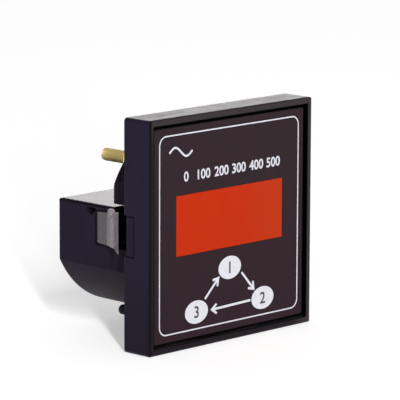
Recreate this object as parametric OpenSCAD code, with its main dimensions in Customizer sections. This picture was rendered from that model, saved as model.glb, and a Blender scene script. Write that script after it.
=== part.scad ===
// Digital panel meter with a square front, a round moulded barrel and spring clips.
// X runs across the front, Y from the front to the rear and Z up.
// The origin is the centre of the seat, where the frame meets the front of the panel.

/* [Bezel] */
// Side of the square front
bezel_size = 72; // [66:1:96]
// Depth of the frame in front of the panel
bezel_depth = 10.5; // [10:0.5:14]
// Width of the rim, which is also the frame's wall
rim_width = 1.95; // [1.5:0.05:3]
// Corner radius of the square front
corner_radius = 1.2; // [0.5:0.1:2.5]
// Rounding of the frame's front edges
edge_radius = 0.7; // [0.2:0.1:1.2]
// Width of the inner ledge that carries the facia
ledge_width = 3; // [2:0.1:5]
// Thickness of the inner ledge
ledge_thickness = 1.8; // [1.2:0.1:3]

/* [Facia and window] */
// Open groove between the rim and the facia
groove_width = 1.05; // [0.5:0.05:2]
// Depth of the facia's face below the rim
facia_recess = 0.9; // [0.2:0.1:2]
// Thickness of the facia plate
facia_thickness = 2.25; // [1.8:0.05:3]
// Thickness of the printed film
label_thickness = 0.25; // [0.1:0.05:0.5]
// Width of the window
window_width = 46.9; // [30:0.1:50]
// Height of the window
window_height = 18.8; // [12:0.1:24]
// Height of the window's centre above the origin
window_lift = 2.4; // [0:0.1:6]
// Overhang of the window's rear flange
filter_flange = 1.5; // [1:0.1:3]
// Thickness of the window's rear flange
filter_flange_thickness = 1; // [0.6:0.1:1.4]

/* [Display] */
// Width of the digit block
digit_block_width = 50.3; // [30:0.1:50.5]
// Height of the digit block
digit_block_height = 19; // [12:0.1:22]
// Depth of the digit block
digit_block_depth = 8; // [6:0.1:8.4]
// Number of digits
digit_count = 4; // [3:1:5]
// Thickness of the circuit boards
board_thickness = 1.6; // [1:0.1:1.8]

/* [Housing] */
// Radius of the barrel at the panel
barrel_radius = 30.35; // [29:0.05:31]
// How much the radius shrinks over the length
barrel_draft = 0.25; // [0:0.05:0.6]
// Distance across the barrel's flats
flats_width = 53.6; // [52.6:0.1:56]
// Depth of the full barrel behind the panel
drum_depth = 13.9; // [13:0.1:16]
// Depth of the D-shaped block behind the panel
block_depth = 38.6; // [36:0.1:50]
// Height of the block's flat top above the origin
deck_height = 5.6; // [4.8:0.1:7]
// Wall thickness
wall = 1.5; // [1.2:0.1:2]
// Height of the bosses that hold the main board off the drum's rear wall
board_boss_height = 1.5; // [1.3:0.1:2.2]
// Thickness of the square flange inside the frame
flange_thickness = 2.2; // [1.6:0.1:3]
// Rounding of the block's long edges
deck_radius = 1; // [0.4:0.1:1.4]
// Rounding of the rear edges
rear_radius = 0.7; // [0.5:0.1:2.4]

/* [Side lugs and pegs] */
// Width of the notch in each side of the frame
notch_width = 12.7; // [8:0.1:20]
// Depth of the notch, from the panel forward
notch_depth = 4.35; // [3:0.05:5.2]
// Setback of the lug that fills the notch, from the panel forward
lug_setback = 0.9; // [0:0.1:1.5]
// Distance between the two locating pegs
peg_spacing = 62; // [60:0.5:63]
// Drop of the pegs below the origin
peg_drop = 24.2; // [20:0.1:28]
// Diameter of a locating peg
peg_diameter = 3.1; // [2:0.1:4]
// Length of a locating peg
peg_length = 6.6; // [3:0.1:8]

/* [Spring clips] */
// Thickness of a clip
clip_thickness = 1.4; // [1:0.1:1.6]
// Thickness of a clip at its tip
clip_tip_thickness = 0.5; // [0.4:0.1:1]
// Half the height of a clip at its tip
clip_half_height = 6.35; // [5:0.05:7]
// Depth of the hinge axis behind the panel
clip_hinge_depth = 23.9; // [22:0.1:26]
// Depth of the hinge axis inside the flat
clip_hinge_inset = 3; // [2.8:0.1:3.4]
// Slope of the clip next to the hinge
clip_root_angle = 11; // [10:0.5:13]
// Slope of the clip's middle stretch
clip_middle_angle = 23; // [21:0.5:26]
// Slope of the clip's tip
clip_tip_angle = 37; // [30:0.5:40]
// Length of the stretch next to the hinge
clip_root_length = 8.4; // [7.5:0.1:9]
// Length of the middle stretch
clip_middle_length = 5.65; // [4.5:0.05:6.5]
// Widest panel that fits between the seat and the clip's tip
panel_gap = 3.6; // [2.8:0.1:5]

/* [Terminals] */
// Distance between the two studs
stud_spacing = 25; // [22:0.5:26]
// Height of the studs above the origin
stud_lift = 18.4; // [17.5:0.1:19.5]
// Thread diameter of a stud
stud_diameter = 4; // [3:0.5:5]
// Depth of a stud's tip behind the panel
stud_reach = 32.8; // [28:0.1:44]
// Size of the stud heads and nuts across their flats
nut_flats = 7; // [6:0.5:8]
// Thickness of a full nut
nut_thickness = 3.2; // [2.4:0.1:4]
// Thickness of a lock nut
locknut_thickness = 2.2; // [1.6:0.1:3]
// Thickness of a plain washer
washer_thickness = 0.8; // [0.5:0.1:1.2]

/* [Transformer] */
// Width of the core
core_width = 24; // [20:0.5:24.5]
// Length of the core, from the board to the rear
core_length = 20; // [18:0.5:22]
// Height of the stack of laminations
core_stack = 12; // [8:0.5:13]
// Width of one outer leg
core_leg = 4; // [3:0.5:4.5]

/* [Hidden] */
$fn = 64;
seam = 0.15; // between moulded parts that lie flush
slip = 0.25; // between parts that slide together on assembly
running = 0.05; // radial, between a pin and its hole
over = 1; // how far a cut runs past a face
bite = 0.1; // how far a rib or boss reaches into its own wall
deep = 200; // reach of a cut that runs right through
lead_sides = 8; // sides of a solder hole
lead_hole = 0.5; // radius of a solder hole
lead_reach = 0.8; // of a lead beyond the solder side of its board

half_size = bezel_size / 2;
inner_half = half_size - rim_width;
opening_half = inner_half - ledge_width;
facia_half = inner_half - groove_width;
label_front = facia_recess - bezel_depth;
facia_front = label_front + label_thickness;
facia_rear = facia_front + facia_thickness;
ledge_rear = facia_rear + ledge_thickness;
pocket_corner = 0.5; // corner radius of the frame's inside
ledge_corner = 2;

film_margin = 0.2;
filter_clearance = 0.1;
spigot_half = opening_half - slip;
spigot_wall = 1.4;
hook_reach = 0.9;
hook_width = 9;
hook_thickness = 0.9;
hook_land = 0.3;

digit_block_front = facia_rear + 0.2;
display_board_front = digit_block_front + digit_block_depth;
display_board_rear = display_board_front + board_thickness;
step_inside = drum_depth - wall;
main_board_rear = step_inside - board_boss_height;
main_board_front = main_board_rear - board_thickness;

flat_half = flats_width / 2;
inner_flat = flat_half - wall;
inner_radius = barrel_radius - wall;
flange_half = inner_half - slip;
flange_corner = 0.8;
lip_thickness = 1.5; // of the flange's wall that runs forward to the ledge
inner_edge = 0.25; // least rounding of the housing's inside edges

board_radius = inner_radius - barrel_draft - 0.3;
board_half = inner_flat - 0.5;

hinge_x = flat_half - clip_hinge_inset;
clip_skin = 2.2; // of the clip's outer face outside the hinge axis
knuckle_radius = 1.3;
trunnion_radius = 0.9;
trunnion_length = 1;
trunnion_end_play = 0.1;
clip_gap = 0.35;
clip_neck_width = 0.9;
clip_neck_length = 1.6;
tip_slant = 0.4; // of the tip's end, towards the rear
clip_hinge_top = 3.1;
clip_knee_depth = 13.4;
clip_knee_top = 4.2;
clip_tip_top = 6.4;
boss_radius = 1.3;
boss_proud = 0.6;
boss_place = 0.52; // of the way along the clip's middle stretch

recess_wall = 1.2;
recess_front = panel_gap - 0.2;
recess_low = -clip_half_height - clip_gap - running;
recess_high = clip_tip_top + 0.5;
recess_floor = hinge_x - knuckle_radius - 0.3;
recess_mouth_rear = clip_hinge_depth - 1.9;
recess_step = 14.5;
recess_rear = clip_hinge_depth + knuckle_radius + clip_gap;
lip_inside = flat_half - 0.85; // of the lip that hides the knuckle
relief_radius = 1.9;
relief_height = 4.35;
relief_inside = hinge_x + trunnion_radius + 0.5;

stud_x = stud_spacing / 2;
stud_radius = stud_diameter / 2;
pitch_radius = stud_radius * 0.885; // where a thread and its nut meet
stud_tip_round = 0.9;
stud_boss_radius = 4.2;
head_thickness = 2.8;
tag_thickness = 0.8;
tag_radius = 3.8;
tag_width = 2;
tag_length = 7.5;
washer_radius = 4.5;
spring_washer_radius = 3.5;
spring_washer_thickness = 1;
spring_washer_split = 0.5;
locknut_front = drum_depth + washer_thickness;
spring_washer_front = locknut_front + locknut_thickness;
nut_front = spring_washer_front + spring_washer_thickness;
nut_rear = nut_front + nut_thickness;
free_thread_front = nut_rear + 0.2;

pillar_x = 9.5;
pillar_z = -22.5;
pillar_radius = 3;
screw_radius = 1.45;
screw_head_radius = 2.7;
screw_head_height = 2;
screw_length = 9.5;
screw_point = 1.5;
spacer_radius = 2.5;
spacer_neck = 1.45;
spacer_hole = 1.6;
spacer_head = 1.9;
spacer_tip = 0.8;
spacer_spots = [[20.5, 15], [-20.5, 15], [21.2, -11.8], [-21.2, -11.8]];

header_pins = 8;
header_pitch = 2.54;
header_lift = 13.2;
header_width = 2.5;
header_pin = 0.64;
capacitor_x = 16.5;
capacitor_z = -16;
capacitor_radius = 4;
capacitor_length = 12;
capacitor_pitch = 3.5;
regulator_z = -26; // of the tab's lower face
regulator_lead_rise = 2.2; // of the leads above the tab's lower face

transformer_drop = -9;
core_front = main_board_rear + 0.5;
bobbin_wall = 0.8;
bobbin_clearance = 0.15;
bobbin_flange = 1.2;
coil_margin = 0.2;
window_front = core_front + core_leg;
window_rear = core_front + core_length - core_leg;
bobbin_reach = core_stack / 2 + 3.9; // of a bobbin flange above and below the core's centre
bobbin_pin_pitch = 5;
bobbin_pin_radius = 0.4;
bobbin_pin_inset = 1.6; // of the pins inside the flange's edge

// ---- placing helpers ----

// Draws a front-view outline (X, Z) as a slab from one depth to another.
module along_depth(front, rear) {
    translate([0, rear, 0]) rotate([90, 0, 0]) linear_extrude(rear - front) children();
}

// Draws a side-view outline (Y, Z) as a slab from one X to another.
module along_width(left, right) {
    translate([left, 0, 0]) rotate([90, 0, 90]) linear_extrude(right - left) children();
}

// Turns a profile of radius and depth about the Y axis.
module turned() {
    rotate([-90, 0, 0]) rotate_extrude($fn = 128) children();
}

// A rod along Y.
module rod(radius, front, rear, at = [0, 0], sides = $fn) {
    translate([at[0], front, at[1]]) rotate([-90, 0, 0])
        cylinder(r = radius, h = rear - front, $fn = sides);
}

// A block given by its low and high corners.
module block(low, high) {
    translate(low) cube(high - low);
}

module both_sides() {
    children();
    mirror([1, 0, 0]) children();
}

module round_rect(width, height, radius) {
    square([width - 2 * radius, height], center = true);
    square([width, height - 2 * radius], center = true);
    for (x = [-1, 1], y = [-1, 1])
        translate([x * (width / 2 - radius), y * (height / 2 - radius)]) circle(radius);
}

module round_square(half, radius) {
    round_rect(2 * half, 2 * half, radius);
}

// A rounded rectangle given by its low and high corners.
module round_span(low, high, radius) {
    translate((low + high) / 2) round_rect(high[0] - low[0], high[1] - low[1], radius);
}

// ---- front ----

module bezel_form() {
    past = half_size;
    intersection() {
        along_depth(-bezel_depth, 0) round_rect(bezel_size, bezel_size, corner_radius);
        along_width(-half_size, half_size)
            round_span([-bezel_depth, -half_size], [past, half_size], edge_radius);
        translate([0, 0, -half_size]) linear_extrude(bezel_size)
            round_span([-half_size, -bezel_depth], [half_size, past], edge_radius);
    }
}

module bezel_frame() {
    notch_half = notch_width / 2;
    color([0.15, 0.13, 0.18]) difference() {
        bezel_form();
        along_depth(-bezel_depth - over, facia_rear) round_square(inner_half, pocket_corner);
        along_depth(facia_rear - over, ledge_rear + over) round_square(opening_half, ledge_corner);
        along_depth(ledge_rear, over) round_square(inner_half, pocket_corner);
        both_sides()
            block([inner_half - over, -notch_depth, -notch_half], [half_size + over, over, notch_half]);
    }
}

module facia_plate() {
    spigot_rear = ledge_rear + hook_thickness + seam;
    plate_corner = 0.4;
    color([0.2, 0.17, 0.18]) difference() {
        union() {
            along_depth(facia_front, facia_rear) round_square(facia_half, plate_corner);
            along_depth(facia_rear, spigot_rear) difference() {
                round_square(spigot_half, ledge_corner - slip);
                square(2 * (spigot_half - spigot_wall), center = true);
            }
            // snap hooks behind the ledge, two on each side of the square
            for (turn = [0 : 3], side = [-1, 1])
                rotate([0, 90 * turn, 0]) translate([side * spigot_half / 2, 0, spigot_half - spigot_wall])
                    facia_hook(spigot_rear);
        }
        along_depth(facia_front - over, facia_rear + over) window_opening(0);
        along_depth(facia_rear - filter_flange_thickness, facia_rear + over) window_opening(filter_flange);
    }
}

// Outline of the window, grown all round.
module window_opening(growth) {
    translate([0, window_lift])
        square([window_width + 2 * growth, window_height + 2 * growth], center = true);
}

module facia_hook(rear) {
    front = rear - hook_thickness;
    reach = spigot_wall + hook_reach;
    along_width(-hook_width / 2, hook_width / 2) polygon([
        [front, 0], [front, reach], [front + hook_land, reach], [rear, spigot_wall], [rear, 0]
    ]);
}

module facia_label() {
    film_corner = 0.6;
    color([0.19, 0.16, 0.17]) along_depth(label_front, facia_front) difference() {
        round_square(facia_half - film_margin, film_corner);
        window_opening(0);
    }
}

module window_filter() {
    color([0.78, 0.2, 0.08]) {
        along_depth(label_front, facia_rear) window_opening(-filter_clearance);
        along_depth(facia_rear - filter_flange_thickness + seam, facia_rear)
            window_opening(filter_flange - filter_clearance);
    }
}

// ---- boards ----

// Outline shared by both boards: the barrel's inside with room left for the clip recesses.
module board_outline() {
    room = recess_wall + 0.5;
    recess_height = recess_high - recess_low;
    difference() {
        intersection() {
            circle(board_radius);
            square([2 * board_half, 2 * board_radius], center = true);
        }
        for (side = [0, 1]) mirror([side, 0]) translate([recess_floor - room, recess_low - room])
            square([board_radius, recess_height + 2 * room]);
    }
}

module header_spots() {
    for (i = [0 : header_pins - 1])
        translate([(i - (header_pins - 1) / 2) * header_pitch, header_lift]) children();
}

module spacer_holes() {
    for (spot = spacer_spots) translate(spot) circle(spacer_hole);
}

module display_module() {
    face_step = 0.3; // of each digit's face below the block's front
    pitch = digit_block_width / digit_count;
    half_width = 3.7;
    half_height = min(7.1, digit_block_height / 2 - 2);
    slant = 0.8;
    color([0.1, 0.1, 0.11]) translate([0, 0, window_lift]) difference() {
        along_depth(digit_block_front, display_board_front)
            square([digit_block_width, digit_block_height], center = true);
        along_depth(digit_block_front - over, digit_block_front + face_step)
            for (i = [0 : digit_count - 1]) translate([(i - (digit_count - 1) / 2) * pitch, 0]) polygon([
                [-half_width - slant, -half_height], [half_width - slant, -half_height],
                [half_width + slant, half_height], [-half_width + slant, half_height]
            ]);
    }
}

module display_board() {
    color([0.05, 0.35, 0.18]) along_depth(display_board_front, display_board_rear) difference() {
        board_outline();
        spacer_holes();
        header_spots() circle(lead_hole, $fn = lead_sides);
    }
}

// A chip body with two rows of bent leads, lying on a face and reaching rearwards.
module flat_chip(length, width, height, leads, pitch, face) {
    lead_width = 0.42;
    lead_span = 1.4;
    thick = 0.2;
    shoulder = height / 2;
    inside = -0.3;
    translate([0, face, 0]) {
        block([-length / 2, thick, -width / 2], [length / 2, height, width / 2]);
        for (i = [0 : leads / 2 - 1], side = [0, 1]) mirror([0, 0, side])
            translate([(i - (leads / 2 - 1) / 2) * pitch, 0, width / 2])
                along_width(-lead_width / 2, lead_width / 2) polygon([
                    [shoulder, inside], [shoulder, lead_span / 2], [thick, lead_span / 2],
                    [thick, lead_span], [0, lead_span], [0, lead_span / 2 - thick],
                    [shoulder - thick, lead_span / 2 - thick], [shoulder - thick, inside]
                ]);
    }
}

module controller_chip() {
    length = 17.9;
    width = 7.5;
    height = 2.5;
    leads = 28;
    lead_pitch = 1.27;
    color([0.12, 0.12, 0.13]) translate([-4, 0, 4])
        flat_chip(length, width, height, leads, lead_pitch, display_board_rear);
}

module crystal() {
    can = [10.2, 3.8];
    rim = 0.9;
    rim_thickness = 0.6;
    height = 3.4;
    end_radius = 1.8;
    shoulder = display_board_rear + rim_thickness;
    color([0.75, 0.75, 0.76]) translate([-4, 0, -5]) {
        along_depth(display_board_rear, shoulder)
            round_rect(can[0] + rim, can[1] + rim, end_radius + rim / 2);
        along_depth(shoulder, display_board_rear + height) round_rect(can[0], can[1], end_radius);
    }
}

module board_header() {
    strip_rear = display_board_rear + header_width;
    color([0.1, 0.1, 0.1]) {
        along_depth(display_board_rear, strip_rear) translate([0, header_lift])
            square([header_pins * header_pitch, header_width], center = true);
        along_depth(display_board_front - lead_reach, main_board_rear + lead_reach)
            header_spots() square(header_pin, center = true);
    }
}

// Nylon spacers with a split head on the display side and a short one on the housing side.
module board_spacers() {
    front_head = 2.2;
    rear_head = 1.1;
    rim = 0.4;
    front = display_board_front - front_head;
    color([0.92, 0.92, 0.88]) for (at = spacer_spots) translate([at[0], 0, at[1]]) turned() polygon([
        [0, front], [spacer_tip, front],
        [spacer_head, display_board_front - rim], [spacer_head, display_board_front],
        [spacer_neck, display_board_front], [spacer_neck, display_board_rear],
        [spacer_radius, display_board_rear], [spacer_radius, main_board_front],
        [spacer_neck, main_board_front], [spacer_neck, main_board_rear],
        [spacer_head, main_board_rear], [spacer_head, main_board_rear + rim],
        [spacer_tip, main_board_rear + rear_head], [0, main_board_rear + rear_head]
    ]);
}

module board_screws() {
    head_front = main_board_front - screw_head_height;
    thread_rear = main_board_front + screw_length;
    dome = 0.7; // of the head's radius at its face
    color([0.7, 0.7, 0.72]) for (x = [-pillar_x, pillar_x]) translate([x, 0, pillar_z]) turned() polygon([
        [0, head_front], [screw_head_radius * dome, head_front],
        [screw_head_radius, head_front + screw_head_height / 2], [screw_head_radius, main_board_front],
        [screw_radius, main_board_front], [screw_radius, thread_rear - screw_point], [0, thread_rear]
    ]);
}

module capacitor_lead_spots() {
    for (side = [-1, 1], lead = [-1, 1])
        translate([side * capacitor_x, capacitor_z + lead * capacitor_pitch / 2]) children();
}

module transformer_lead_spots() {
    rail = bobbin_reach - bobbin_pin_inset;
    for (i = [-1, 0, 1], side = [-1, 1])
        translate([i * bobbin_pin_pitch, transformer_drop + side * rail]) children();
}

module regulator_lead_spots() {
    for (i = [-1, 0, 1]) translate([i * header_pitch, regulator_z + regulator_lead_rise]) children();
}

module main_board() {
    color([0.05, 0.35, 0.18]) along_depth(main_board_front, main_board_rear) difference() {
        board_outline();
        spacer_holes();
        header_spots() circle(lead_hole, $fn = lead_sides);
        capacitor_lead_spots() circle(lead_hole, $fn = lead_sides);
        transformer_lead_spots() circle(bobbin_pin_radius + slip, $fn = lead_sides);
        regulator_lead_spots() circle(lead_hole + running, $fn = lead_sides);
        for (side = [-1, 1]) {
            translate([side * stud_x, stud_lift]) circle(pitch_radius + slip);
            translate([side * pillar_x, pillar_z]) circle(screw_radius + slip);
        }
    }
}

module bridge_rectifier() {
    body = [8.4, 6.4];
    height = 3.3;
    stand_off = 0.3;
    foot = 0.5; // half the width of a lead's foot
    foot_drop = 3.6;
    mid = main_board_front - height / 2;
    color([0.14, 0.14, 0.15]) translate([14, 0, -4]) {
        along_depth(main_board_front - height, main_board_front - stand_off) square(body, center = true);
        for (x = [-header_pitch, header_pitch], z = [-foot_drop, foot_drop])
            block([x - foot, mid, z - foot], [x + foot, main_board_front, z + foot]);
    }
}

module reservoir_capacitors() {
    bottom = main_board_rear;
    top = bottom + capacitor_length;
    edge = 0.4; // rounding of the sleeve
    crimp_depth = 0.35;
    crimp_height = 1.6;
    end_step = 0.2;
    lead_radius = 0.3;
    color([0.12, 0.14, 0.3]) {
        for (side = [-1, 1]) translate([side * capacitor_x, 0, capacitor_z]) turned() polygon([
            [0, bottom], [capacitor_radius - edge, bottom], [capacitor_radius, bottom + edge],
            [capacitor_radius, bottom + crimp_height - edge],
            [capacitor_radius - crimp_depth, bottom + crimp_height],
            [capacitor_radius, bottom + crimp_height + edge], [capacitor_radius, top - edge],
            [capacitor_radius - edge, top], [capacitor_radius - 2 * edge, top - end_step], [0, top - end_step]
        ]);
        along_depth(main_board_front - lead_reach, bottom + edge) capacitor_lead_spots() circle(lead_radius);
    }
}

module voltage_regulator() {
    width = 10.2;
    body_thickness = 4.4;
    body_length = 9;
    tab_thickness = 1.3;
    tab_length = 6.2;
    tab_hole = 1.85;
    lead = 0.7;
    body_front = main_board_rear + 3;
    body_rear = body_front + body_length;
    color([0.16, 0.16, 0.17]) {
        along_depth(body_front, body_rear) translate([-width / 2, regulator_z])
            square([width, body_thickness]);
        difference() {
            along_depth(body_rear, body_rear + tab_length) translate([-width / 2, regulator_z])
                square([width, tab_thickness]);
            translate([0, body_rear + tab_length / 2, regulator_z - over])
                cylinder(r = tab_hole, h = tab_thickness + 2 * over);
        }
        along_depth(main_board_front - lead_reach, body_front)
            regulator_lead_spots() square(lead, center = true);
    }
}

module varistor() {
    radius = 4;
    thickness = 3.6;
    stand_off = 0.3;
    centre = 19;
    lead_x = 2.5;
    lead = 0.3; // half the width of a lead
    foot = [centre - 4.8, centre - 3];
    color([0.15, 0.25, 0.6]) {
        rod(radius, main_board_front - thickness - stand_off, main_board_front - stand_off, [0, centre]);
        for (x = [-lead_x, lead_x])
            block([x - lead, main_board_front - over, foot[0]], [x + lead, main_board_front, foot[1]]);
    }
}

module input_resistors() {
    spacing = 3.2;
    body_radius = 1.2;
    body_length = 6.4;
    lead_radius = 0.3;
    lead_length = 10;
    bend = lead_length / 2 - lead_radius;
    color([0.8, 0.7, 0.5]) for (i = [-1.5 : 1.5])
        translate([-6, main_board_front - body_radius, 6 + i * spacing]) {
            rotate([0, 90, 0]) cylinder(r = body_radius, h = body_length, center = true);
            rotate([0, 90, 0]) cylinder(r = lead_radius, h = lead_length, center = true);
            for (side = [-1, 1]) rod(lead_radius, 0, body_radius, [side * bend, 0]);
        }
}

module trim_potentiometer() {
    body = 6.6;
    height = 3.5;
    rotor_radius = 1.9;
    rotor_proud = 0.5;
    slot = [3.2, 0.6];
    front = main_board_front - height;
    color([0.15, 0.35, 0.75]) translate([9, 0, 6]) difference() {
        union() {
            along_depth(front, main_board_front) square(body, center = true);
            rod(rotor_radius, front - rotor_proud, front + bite);
        }
        along_depth(front - over, front) square(slot, center = true);
    }
}

// ---- transformer ----

module transformer_core() {
    color([0.42, 0.42, 0.44]) translate([0, 0, transformer_drop - core_stack / 2]) linear_extrude(core_stack)
        translate([0, core_front]) difference() {
            translate([-core_width / 2, 0]) square([core_width, core_length]);
            for (side = [0, 1]) mirror([side, 0]) translate([core_leg, core_leg])
                square([core_width / 2 - 2 * core_leg, core_length - 2 * core_leg]);
        }
}

// The tube's inside is the centre leg and a clearance.
module bobbin_section(growth) {
    square([2 * (core_leg + growth), core_stack + 2 * growth], center = true);
}

module transformer_bobbin() {
    flange_half_width = core_width / 2 - core_leg - bobbin_clearance;
    front = window_front + bobbin_clearance;
    rear = window_rear - bobbin_clearance;
    rail_low = core_stack / 2 + 0.3;
    color([0.85, 0.83, 0.75]) translate([0, 0, transformer_drop]) {
        difference() {
            union() {
                along_depth(front, rear) bobbin_section(bobbin_clearance + bobbin_wall);
                for (at = [front, rear - bobbin_flange]) along_depth(at, at + bobbin_flange)
                    square([2 * flange_half_width, 2 * bobbin_reach], center = true);
            }
            along_depth(front - over, rear + over) bobbin_section(bobbin_clearance);
        }
        // pin rails down to the board, above and below the core
        for (side = [0, 1]) mirror([0, 0, side])
            block([-flange_half_width, main_board_rear, rail_low],
                [flange_half_width, front + bite, bobbin_reach]);
    }
    color([0.8, 0.8, 0.8]) along_depth(main_board_front - lead_reach, main_board_rear + over)
        transformer_lead_spots() circle(bobbin_pin_radius);
}

module transformer_windings() {
    front = window_front + bobbin_clearance + bobbin_flange;
    rear = window_rear - bobbin_clearance - bobbin_flange;
    inner = bobbin_clearance + bobbin_wall;
    depth = core_width / 2 - 2 * core_leg - inner - coil_margin;
    corner = 1.4;
    color([0.72, 0.3, 0.15]) translate([0, 0, transformer_drop]) along_depth(front, rear) difference() {
        round_rect(2 * (core_leg + inner + depth), core_stack + 2 * (inner + depth), corner);
        bobbin_section(inner);
    }
}

// ---- housing ----

// The turned barrel, shrunk all round by inset, with its rounded rear edge.
module barrel_turned(depth, inset, edge) {
    rear = depth - inset;
    slope = barrel_draft / block_depth;
    front_radius = barrel_radius - inset;
    rear_edge = front_radius - slope * rear;
    turned() difference() {
        polygon([[0, 0], [front_radius, 0], [rear_edge, rear - edge], [rear_edge, rear], [0, rear]]);
        translate([rear_edge - edge, rear - edge]) difference() {
            square(2 * edge);
            circle(edge);
        }
    }
}

// The full drum next to the panel. A cavity is the same form, inset by the wall.
module drum_form(inset) {
    intersection() {
        barrel_turned(drum_depth, inset, max(deck_radius - inset, inner_edge));
        block([inset - flat_half, -over, -deep], [flat_half - inset, deep, deep]);
    }
}

// The D-shaped block that runs on behind the drum.
module d_block_form(inset) {
    half = flat_half - inset;
    rear = block_depth - inset;
    top = deck_height - inset;
    edge = max(deck_radius - inset, inner_edge);
    corner = max(rear_radius - inset, inner_edge);
    intersection() {
        barrel_turned(block_depth, inset, corner);
        along_depth(-over, deep) round_span([-half, -deep], [half, top], edge);
        translate([0, 0, -deep]) linear_extrude(2 * deep) round_span([-half, -deep], [half, rear], corner);
        along_width(-deep, deep) round_span([-deep, -deep], [rear, top], edge);
    }
}

module housing_form(inset) {
    drum_form(inset);
    d_block_form(inset);
}

// Outline of a clip recess seen from the side: stepped, with a sloping upper edge along the clip.
module recess_outline(growth, rear) {
    slope = (clip_knee_top - clip_hinge_top) / (clip_hinge_depth - clip_knee_depth);
    step_high = clip_knee_top + clip_gap - slope * (recess_step - clip_knee_depth);
    rear_high = clip_hinge_top + clip_gap + slope * (clip_hinge_depth - rear);
    polygon([
        [recess_front - growth, recess_low - growth], [rear + growth, recess_low - growth],
        [rear + growth, rear_high + growth], [recess_step + growth, step_high + growth],
        [recess_step + growth, recess_high + growth], [recess_front - growth, recess_high + growth]
    ]);
}

// Space in which the right-hand clip swings.
module recess_space() {
    room_top = clip_hinge_top + clip_gap;
    hole_low = -clip_half_height - trunnion_length - trunnion_end_play;
    hole_high = clip_hinge_top + trunnion_length + trunnion_end_play;
    along_width(recess_floor, flat_half + over) recess_outline(0, recess_mouth_rear);
    block([recess_floor, recess_mouth_rear - bite, recess_low], [lip_inside, recess_rear, room_top]);
    // hinge holes above and below the knuckle
    translate([hinge_x, clip_hinge_depth, hole_low])
        cylinder(r = trunnion_radius + running, h = hole_high - hole_low);
    // half-round relief beside the upper trunnion
    intersection() {
        translate([relief_inside, clip_hinge_depth, relief_height]) rotate([0, 90, 0])
            cylinder(r = relief_radius, h = clip_hinge_inset);
        block([0, 0, 0], [deep, deep, relief_height]);
    }
}

module recess_walls() {
    intersection() {
        housing_form(0);
        along_width(recess_floor - recess_wall, deep) recess_outline(recess_wall, recess_rear);
    }
}

module flange() {
    lug_half = notch_width / 2 - seam;
    along_depth(-flange_thickness, 0) round_square(flange_half, flange_corner);
    along_depth(ledge_rear, 0) difference() {
        round_square(flange_half, flange_corner);
        square(2 * (flange_half - lip_thickness), center = true);
    }
    both_sides()
        block([flange_half - over, -notch_depth + seam, -lug_half], [half_size, -lug_setback, lug_half]);
    for (side = [-1, 1]) translate([side * peg_spacing / 2, 0, -peg_drop]) turned() locating_peg();
}

module locating_peg() {
    nose = peg_diameter * 0.3;
    difference() {
        translate([0, -over]) square([peg_diameter / 2, peg_length + over]);
        translate([peg_diameter / 2 - nose, peg_length - nose]) difference() {
            square(2 * nose);
            circle(nose);
        }
    }
}

module rear_housing() {
    color([0.16, 0.14, 0.18]) difference() {
        union() {
            flange();
            difference() {
                housing_form(0);
                housing_form(wall);
            }
            both_sides() recess_walls();
            for (side = [-1, 1]) {
                rod(stud_boss_radius, main_board_rear, step_inside + bite, [side * stud_x, stud_lift]);
                rod(pillar_radius, main_board_rear, block_depth - wall + bite, [side * pillar_x, pillar_z]);
            }
        }
        along_depth(-flange_thickness - over, over) intersection() {
            circle(inner_radius);
            square([2 * inner_flat, 2 * inner_radius], center = true);
        }
        both_sides() recess_space();
        for (side = [-1, 1]) {
            rod(pitch_radius + slip, 0, drum_depth + over, [side * stud_x, stud_lift]);
            rod(screw_radius + running, main_board_rear - over, main_board_front + screw_length + over,
                [side * pillar_x, pillar_z]);
        }
    }
}

// ---- clips ----

// A step along the clip, which leans outwards by the angle as it runs towards the panel.
function lean(angle, length) = [sin(angle) * length, -cos(angle) * length];
function outward(angle, distance) = [cos(angle) * distance, sin(angle) * distance];

// Plan outline of the right-hand clip: its plate starts beside the lip that hides the knuckle,
// and a neck runs under the lip to the knuckle.
module clip_outline() {
    hinge = [hinge_x, clip_hinge_depth];
    foot = hinge + outward(clip_root_angle, clip_skin);
    plate_rear = recess_mouth_rear - clip_gap;
    start = foot + lean(clip_root_angle, (foot[1] - plate_rear) / cos(clip_root_angle));
    crease = foot + lean(clip_root_angle, clip_root_length);
    bend = crease + lean(clip_middle_angle, clip_middle_length);
    tip_run = (bend[1] - panel_gap) / cos(clip_tip_angle);
    tip = bend + lean(clip_tip_angle, tip_run);
    bend_middle = (clip_middle_angle + clip_tip_angle) / 2;
    crease_middle = (clip_root_angle + clip_middle_angle) / 2;
    polygon([
        start, crease, bend, tip, tip + clip_tip_thickness * [-1, tip_slant],
        bend - outward(bend_middle, clip_thickness), crease - outward(crease_middle, clip_thickness),
        start - outward(clip_root_angle, clip_thickness)
    ]);
    hull() {
        translate(hinge) circle(knuckle_radius);
        translate([lip_inside - clip_gap - clip_neck_width, plate_rear - clip_neck_length])
            square([clip_neck_width, clip_neck_length]);
    }
}

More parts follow.
